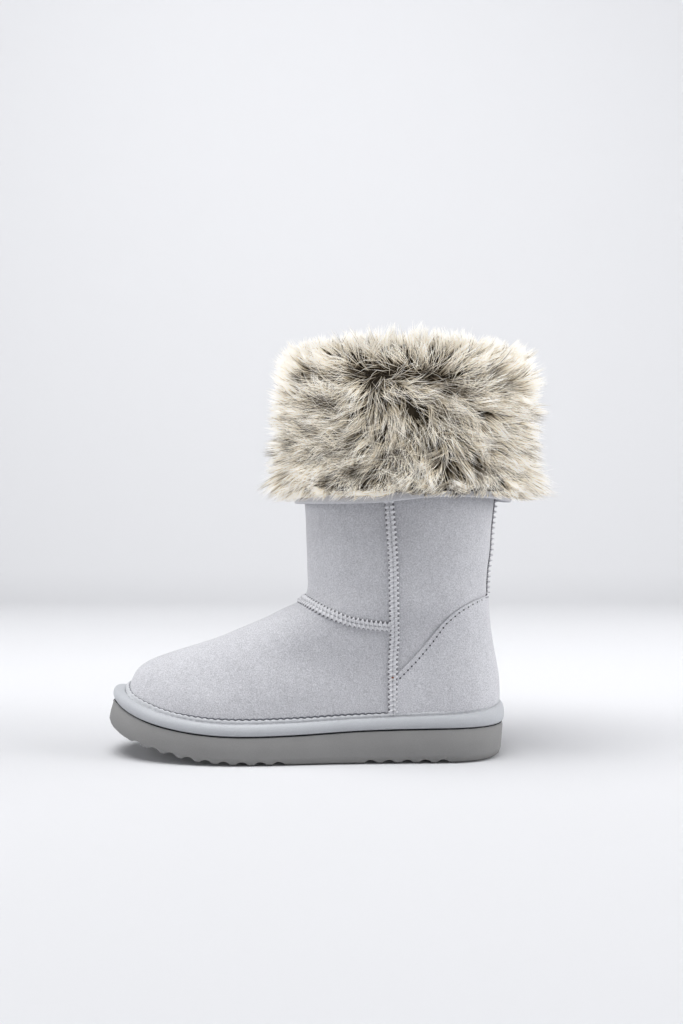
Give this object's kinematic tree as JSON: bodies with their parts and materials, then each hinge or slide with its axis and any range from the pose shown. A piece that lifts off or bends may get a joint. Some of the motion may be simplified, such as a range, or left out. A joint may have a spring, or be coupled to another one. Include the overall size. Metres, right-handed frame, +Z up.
{
  "type": "snow boot",
  "caption": "Left snow boot with a suede upper, heel counter, wrapped welt, lifted foam sole with arched notches, and a turned-down deep fur cuff.",
  "frame": {"origin": "on the floor under the middle of the sole's length, on the heel's centre line", "axes": "+X from the toe to the heel, +Z up, -Y to the outer side of the foot"},
  "size_m": [0.3041, 0.1599, 0.2887],
  "materials": {
    "sole_foam": "matte foam",
    "welt_wrap": "smooth wrap",
    "footbed_fleece": "fleece",
    "grey_suede": "suede",
    "cuff_fur": "deep pile"
  },
  "bodies": {
    "root": {"outsole": "sole_foam", "welt": "welt_wrap", "insole": "footbed_fleece", "upper": "grey_suede", "heel_counter": "grey_suede", "side_seam_outer": "grey_suede", "side_seam_inner": "grey_suede", "vamp_seam": "grey_suede", "back_seam": "grey_suede", "cuff_hem": "grey_suede", "fur_cuff": "cuff_fur"}
  },
  "joints": []
}
